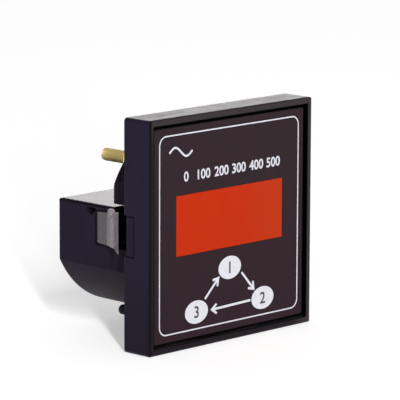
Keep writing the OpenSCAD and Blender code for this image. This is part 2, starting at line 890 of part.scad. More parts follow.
// Right-hand clip: one moulding with its knuckle, two trunnions and a round thumb boss.
module clip() {
    foot = [hinge_x, clip_hinge_depth] + outward(clip_root_angle, clip_skin);
    crease = foot + lean(clip_root_angle, clip_root_length);
    boss_at = crease + lean(clip_middle_angle, clip_middle_length * boss_place);
    color([0.35, 0.33, 0.36]) {
        intersection() {
            translate([0, 0, -clip_half_height]) linear_extrude(clip_half_height + clip_tip_top)
                clip_outline();
            along_width(0, deep) polygon([
                [0, -clip_half_height], [recess_rear, -clip_half_height], [recess_rear, clip_hinge_top],
                [clip_hinge_depth, clip_hinge_top], [clip_knee_depth, clip_knee_top],
                [panel_gap, clip_tip_top], [0, clip_tip_top]
            ]);
        }
        translate([hinge_x, clip_hinge_depth, -clip_half_height - trunnion_length])
            cylinder(r = trunnion_radius, h = clip_half_height + clip_hinge_top + 2 * trunnion_length);
        translate([boss_at[0], boss_at[1], clip_knee_top]) rotate([0, 90, clip_middle_angle])
            translate([0, 0, -over]) cylinder(r = boss_radius, h = over + boss_proud);
    }
}

module clip_right() {
    clip();
}

module clip_left() {
    mirror([1, 0, 0]) clip();
}

// ---- terminals ----

// A hexagon with one pair of flats upright.
module hexagon(flats) {
    rotate(30) circle(flats / sqrt(3), $fn = 6);
}

module terminal_stud(side) {
    tag_front = main_board_front - tag_thickness;
    color([0.78, 0.66, 0.38]) translate([side * stud_x, 0, stud_lift]) {
        along_depth(tag_front - head_thickness, tag_front) hexagon(nut_flats);
        turned() difference() {
            polygon([
                [0, tag_front - bite], [pitch_radius, tag_front - bite], [pitch_radius, free_thread_front],
                [stud_radius, free_thread_front], [stud_radius, stud_reach], [0, stud_reach]
            ]);
            translate([stud_radius - stud_tip_round, stud_reach - stud_tip_round]) difference() {
                square(2 * stud_tip_round);
                circle(stud_tip_round);
            }
        }
    }
}

module terminal_stud_left() {
    terminal_stud(-1);
}

module terminal_stud_right() {
    terminal_stud(1);
}

module stud_rings(front, thickness) {
    for (side = [-1, 1]) translate([side * stud_x, 0, stud_lift]) along_depth(front, front + thickness)
        difference() {
            children();
            circle(pitch_radius + running);
        }
}

module solder_tags() {
    front = main_board_front - tag_thickness;
    color([0.75, 0.72, 0.6]) {
        stud_rings(front, tag_thickness) circle(tag_radius);
        // a tongue from each ring down to its solder pad
        for (side = [-1, 1]) translate([side * stud_x, 0, stud_lift])
            block([-tag_width / 2, front, -tag_length], [tag_width / 2, main_board_front, over - tag_radius]);
    }
}

module terminal_washers() {
    color([0.8, 0.72, 0.45]) stud_rings(drum_depth, washer_thickness) circle(washer_radius);
}

module terminal_locknuts() {
    color([0.78, 0.66, 0.38]) stud_rings(locknut_front, locknut_thickness) hexagon(nut_flats);
}

module spring_washers() {
    color([0.6, 0.6, 0.62]) stud_rings(spring_washer_front, spring_washer_thickness) difference() {
        circle(spring_washer_radius);
        translate([0, spring_washer_radius])
            square([spring_washer_split, 2 * spring_washer_radius], center = true);
    }
}

module terminal_nuts() {
    color([0.78, 0.66, 0.38]) stud_rings(nut_front, nut_thickness) hexagon(nut_flats);
}

bezel_frame();
facia_plate();
facia_label();
window_filter();
display_module();
display_board();
controller_chip();
crystal();
board_header();
board_spacers();
board_screws();
main_board();
bridge_rectifier();
reservoir_capacitors();
voltage_regulator();
varistor();
input_resistors();
trim_potentiometer();
transformer_core();
transformer_bobbin();
transformer_windings();
rear_housing();
clip_left();
clip_right();
terminal_stud_left();
terminal_stud_right();
solder_tags();
terminal_washers();
terminal_locknuts();
spring_washers();
terminal_nuts();
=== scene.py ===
import math

import bmesh
import bpy
from mathutils import Matrix, Vector


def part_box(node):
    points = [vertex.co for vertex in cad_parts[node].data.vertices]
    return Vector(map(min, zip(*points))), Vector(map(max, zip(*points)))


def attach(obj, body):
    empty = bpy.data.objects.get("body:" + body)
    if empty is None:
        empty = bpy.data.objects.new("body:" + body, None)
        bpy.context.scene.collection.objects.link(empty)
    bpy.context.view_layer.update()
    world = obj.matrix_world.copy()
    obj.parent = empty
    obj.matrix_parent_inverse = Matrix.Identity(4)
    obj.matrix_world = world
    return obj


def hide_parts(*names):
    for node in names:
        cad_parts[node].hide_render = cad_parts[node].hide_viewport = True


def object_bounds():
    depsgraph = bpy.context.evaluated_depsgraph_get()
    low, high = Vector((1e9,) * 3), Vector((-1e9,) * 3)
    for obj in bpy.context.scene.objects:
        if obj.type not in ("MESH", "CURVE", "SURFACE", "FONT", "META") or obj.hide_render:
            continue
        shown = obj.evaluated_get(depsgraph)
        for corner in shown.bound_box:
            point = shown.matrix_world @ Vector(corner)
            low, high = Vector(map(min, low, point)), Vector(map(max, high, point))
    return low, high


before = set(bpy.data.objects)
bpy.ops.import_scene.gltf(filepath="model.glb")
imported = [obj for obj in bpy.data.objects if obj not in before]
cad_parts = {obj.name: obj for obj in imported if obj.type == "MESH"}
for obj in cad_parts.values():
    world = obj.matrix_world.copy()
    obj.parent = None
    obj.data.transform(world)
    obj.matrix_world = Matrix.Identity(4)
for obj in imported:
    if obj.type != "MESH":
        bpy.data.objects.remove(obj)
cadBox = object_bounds()
mm = 0.001  # sizes below are in millimetres, meshes in metres
body = "meter"
print("frame loaded with", len(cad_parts), "nodes")


class Signal:  # one output of a node; an operator on it adds a Math node
    def __init__(self, wiring, socket):
        self.wiring = wiring
        self.socket = socket

    def math(self, operation, *values):
        return self.wiring.node("ShaderNodeMath", {"operation": operation}, dict(enumerate(values)))

    def __add__(self, other):
        return self.math("ADD", self, other)

    def __radd__(self, other):
        return self.math("ADD", other, self)

    def __sub__(self, other):
        return self.math("SUBTRACT", self, other)

    def __rsub__(self, other):
        return self.math("SUBTRACT", other, self)

    def __mul__(self, other):
        return self.math("MULTIPLY", self, other)

    def __rmul__(self, other):
        return self.math("MULTIPLY", other, self)

    def __truediv__(self, other):
        return self.math("DIVIDE", self, other)

    def __rtruediv__(self, other):
        return self.math("DIVIDE", other, self)

    def __pow__(self, other):
        return self.math("POWER", self, other)

    def __rpow__(self, other):
        return self.math("POWER", other, self)

    def magnitude(self):
        return self.math("ABSOLUTE", self)

    def larger(self, other):
        return self.math("MAXIMUM", self, other)

    def swing(self, amount):  # from a value of 0 to 1, as far down as up
        return (self - 0.5) * amount

    def wave(self):  # 0 to 1 and back
        return self.math("SINE", self) * 0.5 + 0.5

    def between(self, low, high):  # 0 at low, 1 at high, smooth on the way
        links = {"Value": self, "From Min": low, "From Max": high}
        return self.wiring.node("ShaderNodeMapRange", {"interpolation_type": "SMOOTHSTEP"}, links)

    def ridge(self, centre, half):  # 1 at the centre, 0 from half a width away
        return self.between(centre - half, centre) * self.between(centre + half, centre)


class Wiring:  # a node tree, emptied and ready to be filled
    def __init__(self, owner):
        owner.use_nodes = True
        self.tree = owner.node_tree
        self.tree.nodes.clear()

    def node(self, kind, settings=None, links=None, output=0):
        made = self.tree.nodes.new(kind)
        for key, value in (settings or {}).items():
            setattr(made, key, value)
        for key, value in (links or {}).items():
            self.feed(made.inputs[key], value)
        return None if output is None else Signal(self, made.outputs[output])

    def feed(self, socket, value):
        if isinstance(value, Signal):
            self.tree.links.new(value.socket, socket)
        elif socket.type == "RGBA" and len(value) == 3:
            socket.default_value = (*value, 1)
        else:
            socket.default_value = value

    def part(self, vector, axis):
        return self.node("ShaderNodeSeparateXYZ", None, {"Vector": vector}, axis)


class Finish(Wiring):  # one material: a Principled shader and the nodes that feed it
    def __init__(self, name, constants):
        self.material = bpy.data.materials.new(name)
        super().__init__(self.material)
        self.shader = self.tree.nodes.new("ShaderNodeBsdfPrincipled")
        output = self.tree.nodes.new("ShaderNodeOutputMaterial")
        self.tree.links.new(self.shader.outputs[0], output.inputs["Surface"])
        for socket, value in constants.items():
            self.shader.inputs[socket].default_value = value
        where = self.node("ShaderNodeTexCoord", output="Object")
        self.place = self.node("ShaderNodeVectorMath", {"operation": "SCALE"}, {0: where, "Scale": 1 / mm})

    def feed(self, socket, value):
        super().feed(self.shader.inputs[socket] if isinstance(socket, str) else socket, value)

    def noise(self, size, detail=2, along=(1, 1, 1)):
        stretched = self.node("ShaderNodeVectorMath", {"operation": "MULTIPLY"}, {0: self.place, 1: along})
        links = {"Vector": stretched, "Scale": 1 / size, "Detail": detail}
        return self.node("ShaderNodeTexNoise", None, links)

    def cells(self, size, feature="F1"):
        links = {"Vector": self.place, "Scale": 1 / size}
        return self.node("ShaderNodeTexVoronoi", {"feature": feature}, links, "Distance")

    def coordinate(self, axis):
        return self.part(self.place, axis)

    def distance(self, axis):  # from the plane through the middle
        return self.coordinate(axis).magnitude()

    def facing(self, axis, way=1, slight=0.6, full=0.9):  # 1 where the surface faces along the axis
        normal = self.node("ShaderNodeTexCoord", output="Normal")
        return (self.part(normal, axis) * way).between(slight, full)

    def mix(self, factor, first, second):  # the colours are its sockets 6 and 7, the result is output 2
        return self.node("ShaderNodeMix", {"data_type": "RGBA"}, {0: factor, 6: first, 7: second}, output=2)

    def rounded(self, radius):  # shades sharp edges as if they were rounded
        return self.node("ShaderNodeBevel", {"samples": 6}, {"Radius": radius * mm})

    def edges(self, rounded, slight=0.01, full=0.2):  # 1 along an edge, 0 where the face is flat
        flat = self.node("ShaderNodeNewGeometry", output="True Normal")
        same = self.node("ShaderNodeVectorMath", {"operation": "DOT_PRODUCT"}, {0: rounded, 1: flat}, "Value")
        return (1 - same).between(slight, full)

    def bump(self, height, depth, under=None):
        links = {"Height": height, "Distance": depth * mm}
        if under is not None:
            links["Normal"] = under
        return self.node("ShaderNodeBump", None, links)

    def relief(self, height, depth, edge):  # bumps on a surface whose edges are rounded
        self.feed("Normal", self.bump(height, depth, self.rounded(edge)))


def frontOfFrame(finish, look, tone):  # painted light and shade: pale towards the top and right, painted shade at the bottom, at the left and inside the rim
    across, height = finish.coordinate("X"), finish.coordinate("Z")
    # painted shade: the frame darkens towards the bottom
    tone = finish.mix(height.between(*look["footFade"]), look["foot"], tone)
    # painted light: the front of the rim is paler towards the top and right
    lit = height.between(*look["rimLightFade"]).larger(across.between(*look["rimLightFade"]))
    rim = finish.mix(lit, look["rimShade"], look["rim"])
    # painted shade: a dark line down the left edge of the front
    rim = finish.mix(across.between(*look["rimEdgeShade"]), look["line"], rim)
    tone = finish.mix(finish.facing("Y", -1), tone, rim)
    # painted shade inside the rim, on the walls of the opening
    inside = finish.distance("X").between(*look["rimInner"]) * finish.distance("Z").between(*look["rimInner"])
    return finish.mix(inside, tone, look["line"])


def borderOfPlate(finish, look, tone):  # painted shade: black along the plate's outer edges, in the groove round the plate
    outward = finish.distance("X").larger(finish.distance("Z"))
    return finish.mix(outward.between(*look["grooveShade"]), tone, look["line"])


def seamsOfHousing(finish, look, tone):  # painted shade round each side lug, and a dark line of painted shade under the deck's edge
    # painted shade in the gap round each side lug
    reach = (finish.distance("Z") - look["lugHalf"]).larger(-1 * finish.coordinate("Y") - look["lugDepth"])
    seam = reach.between(*look["seam"]) * finish.distance("X").between(*look["lugFace"])
    tone = finish.mix(seam, tone, look["line"])
    # painted shade under the deck's rounded edge
    height = finish.coordinate("Z")
    under = height.between(*look["deckLow"]) * height.between(*look["deckHigh"]) * (1 - finish.facing("Z"))
    under = under * finish.distance("X").between(*look["deckSide"])
    return finish.mix(under * look["deckShadeLevel"], tone, look["line"])


def mouldedPlastic(name, look):
    finish = Finish(name, {"IOR": look["ior"], "Specular IOR Level": look["specular"]})
    clouds = finish.noise(look["cloudSize"], detail=3)
    grain = finish.noise(look["grainSize"], detail=3)
    flow = finish.noise(look["flowSize"], detail=4, along=look["flowAlong"])
    dust = finish.cells(look["dustSize"]).between(*look["dustShare"])
    rounded = finish.rounded(look["edge"])
    tone = finish.mix(clouds.between(*look["cloudShare"]), look["shade"], look["colour"])
    roughness = look["roughness"] + flow.swing(look["mottle"]) + grain.swing(look["tooth"])
    if "rim" in look:
        tone = frontOfFrame(finish, look, tone)
    if "grooveShade" in look:
        tone = borderOfPlate(finish, look, tone)
    if "belly" in look:  # the underside is duller
        down = -1 * finish.part(rounded, "Z")
        roughness = roughness + down.between(*look["bellyFade"]) * look["belly"]
    if "seam" in look:
        tone = seamsOfHousing(finish, look, tone)
    if "streak" in look:  # the top of the frame, marked along its length
        top = finish.facing("Z")
        streaks = finish.noise(look["streakSize"], detail=4, along=look["streakAlong"])
        tone = finish.mix(top * streaks.between(*look["streakShare"]), tone, look["streak"])
        roughness = roughness + top * (streaks - look["streakMiddle"]) * look["streakDepth"]
    tone = finish.mix(dust * look["dustLevel"], tone, look["dustColour"])
    # painted shade: every edge is darkened towards the near-black line colour
    finish.feed("Base Color", finish.mix(finish.edges(rounded) * look["edgeShadeLevel"], tone, look["line"]))
    finish.feed("Roughness", roughness)
    waves = finish.bump(clouds, look["waviness"], rounded)
    finish.feed("Normal", finish.bump(grain, look["grainDepth"], waves))
    return finish


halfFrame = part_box("bezel_frame")[1].x / mm
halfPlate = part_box("facia_plate")[1].x / mm
plainLook = {
    # line is the near-black of the painted shade along edges, gaps and grooves
    "colour": (0.0120, 0.0070, 0.0220), "shade": (0.0095, 0.0055, 0.0185), "line": (0.0008, 0.0006, 0.0010),
    "ior": 1.5, "specular": 0.09, "roughness": 0.36, "mottle": 0.12, "tooth": 0.08,
    "cloudSize": 14, "cloudShare": (0.3, 0.7), "waviness": 0.02,
    "flowSize": 3.5, "flowAlong": (1, 1, 0.35), "grainSize": 0.16, "grainDepth": 0.006,
    "edge": 0.45, "edgeShadeLevel": 0.85,
    "dustSize": 2.6, "dustShare": (0.035, 0.021), "dustLevel": 0.25, "dustColour": (0.16, 0.15, 0.15),
}
bezelLook = {
    # the bottom, rim and recess colours below are painted light and shade on the frame
    **plainLook, "foot": (0.0070, 0.0035, 0.0120), "footFade": (-halfFrame, 6),
    "rim": (0.0360, 0.0275, 0.0300), "rimShade": (0.0090, 0.0050, 0.0090), "rimLightFade": (26, halfFrame),
    "rimEdgeShade": (0.8 - halfFrame, 1.8 - halfFrame), "rimInner": (halfFrame - 1.8, halfFrame - 1.9),
    "streak": (0.0360, 0.0290, 0.0310), "streakSize": 0.9, "streakAlong": (0.05, 1, 1),
    "streakShare": (0.35, 0.7), "streakMiddle": 0.4, "streakDepth": 0.3,
}
housingLook = {
    **plainLook, "colour": (0.0190, 0.0125, 0.0265), "shade": (0.0155, 0.0100, 0.0220),
    "roughness": 0.24, "mottle": 0.08, "specular": 0.032, "flowAlong": (1, 0.35, 1),
    "grainDepth": 0.002, "waviness": 0.006, "edge": 1.1, "belly": 0.22, "bellyFade": (0.1, 0.8),
    # the lug and deck values below place painted shade
    "lugHalf": 6.35, "lugDepth": 4.35, "lugFace": (halfFrame - 0.6, halfFrame - 0.2), "seam": (-0.4, -0.15),
    "deckLow": (4.6, 5.2), "deckHigh": (5.8, 5.6), "deckSide": (30, 29), "deckShadeLevel": 0.8,
}
faciaLook = {
    **plainLook, "colour": (0.0150, 0.0100, 0.0120), "shade": (0.0110, 0.0070, 0.0090),
    # the plate's outer edges get painted shade
    "roughness": 0.42, "grooveShade": (halfPlate - 0.7, halfPlate - 0.1),
}


def springPlastic(look):  # painted reflection, pale towards the tip, and painted shade towards the root, with a painted highlight along its crease
    finish = Finish("clipPlastic", {"IOR": look["ior"], "Specular IOR Level": look["specular"]})
    clouds = finish.noise(look["cloudSize"], detail=3)
    grain = finish.noise(look["grainSize"], along=look["grainAlong"])
    depth = finish.coordinate("Y")
    # painted shade at the root in the recess, painted reflection towards the tip
    tone = finish.mix(depth.between(*look["sheenToShadeFade"]), look["colour"], look["root"])
    # painted highlight along the crease
    crease = depth.ridge(look["crease"], look["creaseHalf"])
    tone = finish.mix(crease * look["creaseHighlightLevel"], tone, look["pale"])
    shaded = clouds * look["cloudLevel"] + grain * look["grainLevel"]
    finish.feed("Base Color", finish.mix(shaded, tone, look["shade"]))
    finish.feed("Roughness", look["roughness"] + grain.swing(look["tooth"]))
    finish.relief(grain, look["grainDepth"], look["edge"])
    return finish


clipLook = {
    # colour and pale are painted reflection on the dark plastic, root is painted shade
    "colour": (0.3200, 0.2700, 0.3150), "root": (0.0480, 0.0420, 0.0510), "shade": (0.1300, 0.1150, 0.1320),
    "pale": (0.3200, 0.2900, 0.3150), "sheenToShadeFade": (12.5, 16.5), "crease": 15.6, "creaseHalf": 0.9,
    "creaseHighlightLevel": 0.7, "ior": 1.5, "specular": 0.35, "roughness": 0.26, "tooth": 0.15,
    "cloudSize": 5, "cloudLevel": 0.3, "grainSize": 0.4, "grainLevel": 0.1, "grainAlong": (1, 1, 0.25),
    "grainDepth": 0.002, "edge": 0.1,
}


def printedFilm(look):
    finish = Finish("labelFilm", {"IOR": look["ior"], "Specular IOR Level": look["specular"]})
    clouds = finish.noise(look["cloudSize"], detail=3)
    grain = finish.noise(look["grainSize"])
    specks = finish.cells(look["speckSize"]).between(look["speckShare"], 0)
    height = finish.coordinate("Z") / look["halfHeight"]
    # painted light: the label is paler towards the top
    tone = finish.mix(height.between(-1, 1), look["low"], look["high"])
    tone = finish.mix(clouds.between(*look["cloudShare"]) * look["cloudLevel"], tone, look["cloud"])
    finish.feed("Base Color", finish.mix(specks * look["speckLevel"], tone, look["speck"]))
    roughness = look["roughness"] + grain.swing(look["tooth"]) + clouds.swing(look["mottle"])
    finish.feed("Roughness", roughness)
    finish.relief(grain, look["grainDepth"], look["edge"])
    return finish


filmLook = {
    # low and high are painted light, darker at the bottom of the label and paler at the top
    "low": (0.0185, 0.0075, 0.0130), "high": (0.0205, 0.0110, 0.0145), "halfHeight": halfPlate,
    "cloud": (0.0255, 0.0115, 0.0135), "cloudSize": 9, "cloudShare": (0.35, 0.65), "cloudLevel": 0.35,
    "speck": (0.10, 0.08, 0.08), "speckSize": 0.9, "speckShare": 0.09, "speckLevel": 0.3,
    "ior": 1.5, "specular": 0.10, "roughness": 0.46, "tooth": 0.12, "mottle": 0.08,
    "grainSize": 0.14, "grainDepth": 0.004, "edge": 0.06,
}


def redAcrylic(look):
    finish = Finish("redAcrylic", {"IOR": look["ior"], "Specular IOR Level": look["specular"]})
    across = finish.coordinate("X") / look["halfWidth"]
    clouds = finish.noise(look["cloudSize"], detail=3)
    grain = finish.noise(look["grainSize"])
    tone = finish.mix(across.between(*look["fade"]), look["left"], look["right"])
    tone = finish.mix(clouds.between(*look["cloudShare"]) * look["cloudLevel"], tone, look["cloud"])
    finish.feed("Base Color", tone)
    finish.feed("Roughness", look["roughness"] + clouds.swing(look["mottle"]))
    finish.relief(grain, look["grainDepth"], look["edge"])
    return finish


windowLook = {
    "left": (0.490, 0.024, 0.0018), "right": (0.455, 0.032, 0.0045), "fade": (-0.2, 1.1), "halfWidth": 23.4,
    "cloud": (0.530, 0.031, 0.0028), "cloudSize": 6, "cloudShare": (0.45, 0.75), "cloudLevel": 0.3,
    "ior": 1.49, "specular": 0.06, "roughness": 0.34, "mottle": 0.1,
    "grainSize": 0.3, "grainDepth": 0.002, "edge": 0.08,
}


def screenInk(name, look):
    finish = Finish(name, {"IOR": look["ior"], "Specular IOR Level": look["specular"]})
    patches = finish.noise(look["patchSize"], detail=3)
    mesh = finish.noise(look["meshSize"])
    shaded = patches.between(*look["patchShare"]) * look["patchLevel"] + mesh * look["meshLevel"]
    finish.feed("Base Color", finish.mix(shaded, look["colour"], look["shade"]))
    finish.feed("Roughness", look["roughness"] + mesh.swing(look["tooth"]))
    finish.feed("Normal", finish.bump(mesh, look["meshDepth"]))
    return finish


whiteLook = {
    "colour": (0.70, 0.70, 0.76), "shade": (0.63, 0.63, 0.69), "ior": 1.5, "specular": 0.3,
    "patchSize": 1.4, "patchShare": (0.35, 0.7), "patchLevel": 0.6,
    "meshSize": 0.11, "meshLevel": 0.3, "meshDepth": 0.003, "roughness": 0.5, "tooth": 0.15,
}
darkLook = {**whiteLook, "colour": (0.030, 0.024, 0.030), "shade": (0.045, 0.036, 0.042)}


def turnedMetal(name, look):
    finish = Finish(name, {"IOR": look["ior"]})
    patina = finish.noise(look["patinaSize"], detail=4)
    scratches = finish.noise(look["scratchSize"], detail=3, along=look["scratchAlong"])
    tarnish = finish.noise(look["tarnishSize"], detail=3)
    tone = finish.mix(patina.between(*look["patinaShare"]), look["colour"], look["patina"])
    tone = finish.mix(tarnish.between(*look["spotShare"]) * look["spots"], tone, look["spot"])
    finish.feed("Base Color", tone)
    dulled = tarnish.between(*look["dullShare"]) * look["spots"] * look["dull"]
    finish.feed("Metallic", look["metallic"] - dulled)
    roughness = look["roughness"] + scratches.swing(look["tooth"]) + patina.swing(look["mottle"])
    finish.feed("Roughness", roughness)
    finish.relief(scratches, look["scratchDepth"], look["edge"])
    return finish


brassLook = {
    "colour": (0.980, 0.760, 0.330), "patina": (0.880, 0.660, 0.270), "spot": (0.30, 0.20, 0.09), "ior": 1.5,
    "patinaSize": 1.8, "patinaShare": (0.3, 0.75), "tarnishSize": 0.54, "spots": 0.3,
    "spotShare": (0.6, 0.8), "dullShare": (0.6, 0.85), "dull": 0.6,
    "scratchSize": 0.12, "scratchAlong": (1, 4, 1), "scratchDepth": 0.004,
    "metallic": 0.6, "roughness": 0.38, "tooth": 0.2, "mottle": 0.16, "edge": 0.06,
}
# painted shade in the thread roots: a dark, less metallic brass
threadShadeLook = {**brassLook, "colour": (0.110, 0.070, 0.030), "patina": (0.070, 0.045, 0.020), "metallic": 0.3}
zincLook = {
    **brassLook, "colour": (0.58, 0.58, 0.60), "patina": (0.44, 0.45, 0.48), "spot": (0.22, 0.22, 0.22),
    "spots": 0.25, "roughness": 0.3, "metallic": 0.9,
}


def circuitBoard(look):
    finish = Finish("circuitBoard", {"IOR": look["ior"], "Coat Roughness": look["coatRoughness"]})
    tracks = finish.cells(look["trackSize"], "DISTANCE_TO_EDGE").between(*look["trackShare"])
    weave = (finish.coordinate("X") * look["weave"]).wave() * (finish.coordinate("Z") * look["weave"]).wave()
    clouds = finish.noise(look["cloudSize"])
    mask = finish.mix(tracks, look["mask"], look["track"])
    shaded = clouds * look["cloudLevel"] + weave * look["weaveLevel"]
    finish.feed("Base Color", finish.mix(shaded, mask, look["cloud"]))
    finish.feed("Coat Weight", look["coat"] + tracks * look["trackCoat"])
    finish.feed("Roughness", look["roughness"] + weave * look["tooth"])
    height = tracks * look["trackHeight"] + weave * (1 - look["trackHeight"])
    finish.relief(height, look["depth"], look["edge"])
    return finish


boardLook = {
    "mask": (0.008, 0.085, 0.030), "track": (0.014, 0.150, 0.050), "cloud": (0.010, 0.100, 0.040),
    "trackSize": 2.2, "trackShare": (0.16, 0.13), "trackHeight": 0.8, "weave": 14, "weaveLevel": 0.1,
    "cloudSize": 5, "cloudLevel": 0.3, "ior": 1.55, "coat": 0.3, "trackCoat": 0.2, "coatRoughness": 0.15,
    "roughness": 0.34, "tooth": 0.08, "depth": 0.03, "edge": 0.08,
}


def paintedBody(name, look):
    finish = Finish(name, {"IOR": look["ior"], "Specular IOR Level": look["specular"]})
    clouds = finish.noise(look["cloudSize"], detail=3)
    grain = finish.noise(look["grainSize"])
    finish.feed("Base Color", finish.mix(clouds.between(*look["cloudShare"]), look["colour"], look["shade"]))
    roughness = look["roughness"] + grain.swing(look["tooth"]) + clouds.swing(look["mottle"])
    finish.feed("Roughness", roughness)
    finish.relief(grain, look["grainDepth"], look["edge"])
    return finish


epoxyLook = {
    "colour": (0.018, 0.018, 0.020), "shade": (0.028, 0.028, 0.030), "ior": 1.5, "specular": 0.45,
    "roughness": 0.5, "tooth": 0.15, "mottle": 0.1, "cloudSize": 2.5, "cloudShare": (0.3, 0.7),
    "grainSize": 0.2, "grainDepth": 0.006, "edge": 0.1,
}
nylonLook = {**epoxyLook, "colour": (0.72, 0.70, 0.60), "shade": (0.66, 0.63, 0.52),
             "roughness": 0.45, "grainSize": 0.5, "grainDepth": 0.004}
sleeveLook = {**epoxyLook, "colour": (0.012, 0.015, 0.070), "shade": (0.018, 0.022, 0.090),
              "roughness": 0.28, "grainSize": 0.8, "grainDepth": 0.01}
dippedLook = {**epoxyLook, "colour": (0.020, 0.060, 0.300), "shade": (0.030, 0.080, 0.360),
              "roughness": 0.35, "grainSize": 0.4, "grainDepth": 0.02}
lacquerLook = {**epoxyLook, "colour": (0.55, 0.42, 0.22), "shade": (0.48, 0.36, 0.18),
               "roughness": 0.35, "grainSize": 0.3, "grainDepth": 0.008}
trimmerLook = {**epoxyLook, "colour": (0.020, 0.100, 0.450), "shade": (0.030, 0.130, 0.520), "roughness": 0.4}


def bandedBody(name, look):  # sheets of a core or turns of wire, side by side
    finish = Finish(name, {"IOR": look["ior"]})
    bands = (finish.coordinate(look["axis"]) * (2 * math.pi / look["pitch"])).wave()
    clouds = finish.noise(look["cloudSize"], detail=3)
    tone = finish.mix(bands.between(*look["gapShare"]), look["colour"], look["gap"])
    finish.feed("Base Color", finish.mix(clouds * look["cloudLevel"], tone, look["gap"]))
    finish.feed("Roughness", look["roughness"] + clouds * look["mottle"])
    finish.feed("Metallic", look["metallic"] * bands.between(*look["metalShare"]))
    finish.relief(bands ** look["bulge"], look["depth"], look["edge"])
    return finish


coreLook = {
    "axis": "Z", "pitch": 0.5, "depth": 0.06, "bulge": 0.5, "colour": (0.20, 0.20, 0.21),
    "gap": (0.05, 0.045, 0.04), "gapShare": (0.25, 0), "metallic": 0.9, "metalShare": (0, 0.3),
    "cloudSize": 3, "cloudLevel": 0.3, "ior": 1.5, "roughness": 0.42, "mottle": 0.15, "edge": 0.1,
}
wireLook = {**coreLook, "axis": "Y", "pitch": 0.3, "depth": 0.09, "colour": (0.42, 0.10, 0.03),
            "gap": (0.10, 0.02, 0.01), "metallic": 0.3, "roughness": 0.25}

whiteInk = screenInk("whiteInk", whiteLook)
darkInk = screenInk("darkInk", darkLook)
brass = turnedMetal("turnedBrass", brassLook)
threadShadeBrass = turnedMetal("threadShadeBrass", threadShadeLook)
zinc = turnedMetal("zincPlate", zincLook)
clipPlastic = springPlastic(clipLook)
board = circuitBoard(boardLook)
epoxy = paintedBody("mouldedEpoxy", epoxyLook)
nylon = paintedBody("naturalNylon", nylonLook)

finishOf = {
    "bezel_frame": mouldedPlastic("bezelPlastic", bezelLook),
    "facia_plate": mouldedPlastic("faciaPlastic", faciaLook),
    "facia_label": printedFilm(filmLook),
    "window_filter": redAcrylic(windowLook),
    "rear_housing": mouldedPlastic("housingPlastic", housingLook),
    "clip_left": clipPlastic, "clip_right": clipPlastic,
    "display_module": epoxy, "controller_chip": epoxy, "board_header": epoxy,
    "bridge_rectifier": epoxy, "voltage_regulator": epoxy,
    "display_board": board, "main_board": board,
    "crystal": zinc, "board_screws": zinc, "spring_washers": zinc,
    "board_spacers": nylon, "transformer_bobbin": nylon,
    "reservoir_capacitors": paintedBody("shrinkSleeve", sleeveLook),
    "varistor": paintedBody("dippedCoating", dippedLook),
    "input_resistors": paintedBody("resistorLacquer", lacquerLook),
    "trim_potentiometer": paintedBody("trimmerBlue", trimmerLook),
    "transformer_core": bandedBody("coreLaminations", coreLook),
    "transformer_windings": bandedBody("enamelledWire", wireLook),
    "terminal_stud_left": brass, "terminal_stud_right": brass, "solder_tags": brass,
    "terminal_washers": brass, "terminal_locknuts": brass, "terminal_nuts": brass,
}
for nodeName, finish in finishOf.items():
    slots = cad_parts[nodeName].data.materials
    slots.clear()
    slots.append(finish.material)
print("finishes made:", len(bpy.data.materials))

weld = 0.001 * mm  # closer vertices become one
sliver = 0.0005 * mm  # shorter edges are dissolved


def addPiece(name, shape, finish, replaced=(), sharpAngle=35, second=None):
    bmesh.ops.remove_doubles(shape, verts=shape.verts, dist=weld)
    bmesh.ops.dissolve_degenerate(shape, edges=shape.edges, dist=sliver)
    bmesh.ops.recalc_face_normals(shape, faces=shape.faces)
    mesh = bpy.data.meshes.new(name)
    shape.to_mesh(mesh)
    shape.free()
    mesh.shade_smooth()
    mesh.set_sharp_from_angle(angle=math.radians(sharpAngle))
    for used in (finish, second):
        if used:
            mesh.materials.append(used.material)
    piece = bpy.data.objects.new(name, mesh)
    bpy.context.scene.collection.objects.link(piece)
    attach(piece, body)
    if replaced:
        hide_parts(*replaced)


def ring(shape, points):
    return [shape.verts.new([value * mm for value in point]) for point in points]


def bridge(shape, first, second):
    count = len(first)
    for i in range(count):
        j = (i + 1) % count
        shape.faces.new((first[i], first[j], second[j], second[i]))


def addSlab(shape, outline, front, rear):
    near = ring(shape, [(x, front, z) for x, z in outline])
    far = ring(shape, [(x, rear, z) for x, z in outline])
    bridge(shape, near, far)
    shape.faces.new(near)
    shape.faces.new(far)


def addBand(shape, outer, inner, front, rear):
    sections = ((outer, front), (inner, front), (inner, rear), (outer, rear))
    loops = [ring(shape, [(x, depth, z) for x, z in outline]) for outline, depth in sections]
    for i in range(len(loops)):
        bridge(shape, loops[i], loops[(i + 1) % len(loops)])


def revolve(shape, at, profile, columns=72, sweep=360):
    full = sweep == 360
    loops = []
    for i in range(columns if full else columns + 1):
        turn = sweep * i / columns
        across, up = math.cos(math.radians(turn)), math.sin(math.radians(turn))
        points = [(at[0] + radius * across, depth, at[1] + radius * up) for radius, depth in profile(turn)]
        loops.append(ring(shape, points))
    for i in range(columns):
        bridge(shape, loops[i], loops[(i + 1) % len(loops)])
    if not full:
        shape.faces.new(loops[0])
        shape.faces.new(loops[-1])


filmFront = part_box("facia_label")[0].y / mm
inkThickness = 0.03
inkFront = filmFront - inkThickness


def roundedSquare(halfWidth, halfHeight, radius, steps=10):
    points = []
    for quarter, (side, end) in enumerate(((1, 1), (-1, 1), (-1, -1), (1, -1))):
        for i in range(steps + 1):
            turn = math.radians(90 * quarter + 90 * i / steps)
            points.append((side * (halfWidth - radius) + radius * math.cos(turn),
                           end * (halfHeight - radius) + radius * math.sin(turn)))
    return points


